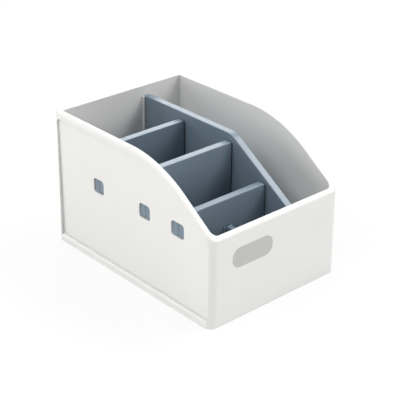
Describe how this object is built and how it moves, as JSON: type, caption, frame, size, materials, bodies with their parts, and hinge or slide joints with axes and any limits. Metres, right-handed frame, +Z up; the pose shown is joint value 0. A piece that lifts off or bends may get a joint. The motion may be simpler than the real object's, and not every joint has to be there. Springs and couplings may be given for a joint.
{
  "type": "stationery tray",
  "caption": "Open-top desk stationery tray with a rolled rim that slopes down to the front, slot-together dividers and a blank label.",
  "frame": {"origin": "centre of the footprint, on the desk", "axes": "+Z up; +Y towards the tall back, so the low front faces -Y; the wall with the plug windows faces -X"},
  "size_m": [0.1224, 0.1696, 0.1047],
  "materials": {
    "shell_plastic": "smooth satin moulded plastic, warm white",
    "divider_plastic": "satin moulded plastic, blue grey",
    "label_plastic": "flat plain film, light grey"
  },
  "bodies": {
    "tray": {"outer_tray": "shell_plastic", "long_divider": "divider_plastic", "back_cross_divider": "divider_plastic", "middle_cross_divider": "divider_plastic", "front_cross_divider": "divider_plastic", "front_label": "label_plastic"},
    "front_divider": {"short_front_divider": "divider_plastic"}
  },
  "joints": [
    {"name": "front_divider_lift", "type": "slide", "parent": "tray", "child": "front_divider", "axis": [0, 0, 1], "range_m": [0, 0.0478]}
  ]
}
